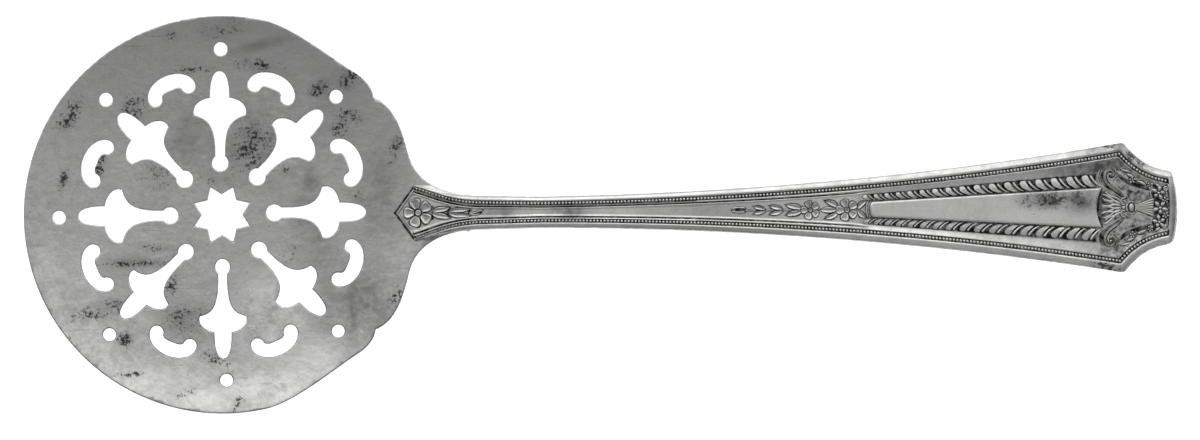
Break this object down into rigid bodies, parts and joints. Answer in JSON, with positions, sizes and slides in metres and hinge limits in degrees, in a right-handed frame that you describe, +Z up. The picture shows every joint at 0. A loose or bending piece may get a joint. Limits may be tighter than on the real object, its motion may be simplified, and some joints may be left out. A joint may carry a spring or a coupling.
{
  "type": "tomato server",
  "caption": "Flat round pierced serving head with lobed shoulders on a slender arched handle with a beaded border, for lifting and draining sliced tomatoes.",
  "frame": {"origin": "on the plane it rests on, at the middle of its length and width", "axes": "+X along the length towards the handle's end, +Z up out of the face of the head, +Y completing a right-handed frame"},
  "size_m": [0.2004, 0.0692, 0.0145],
  "materials": {
    "sheet_silver": "sheet silver worn to a satin, with tarnish spots and fine scratches",
    "struck_silver": "struck silver, bright on the high places, dark oxide in the recesses",
    "hard_solder": "hard solder, duller than the silver"
  },
  "bodies": {
    "root": {"pierced_head": "sheet_silver", "handle": "struck_silver", "solder_film": "hard_solder"}
  },
  "joints": []
}
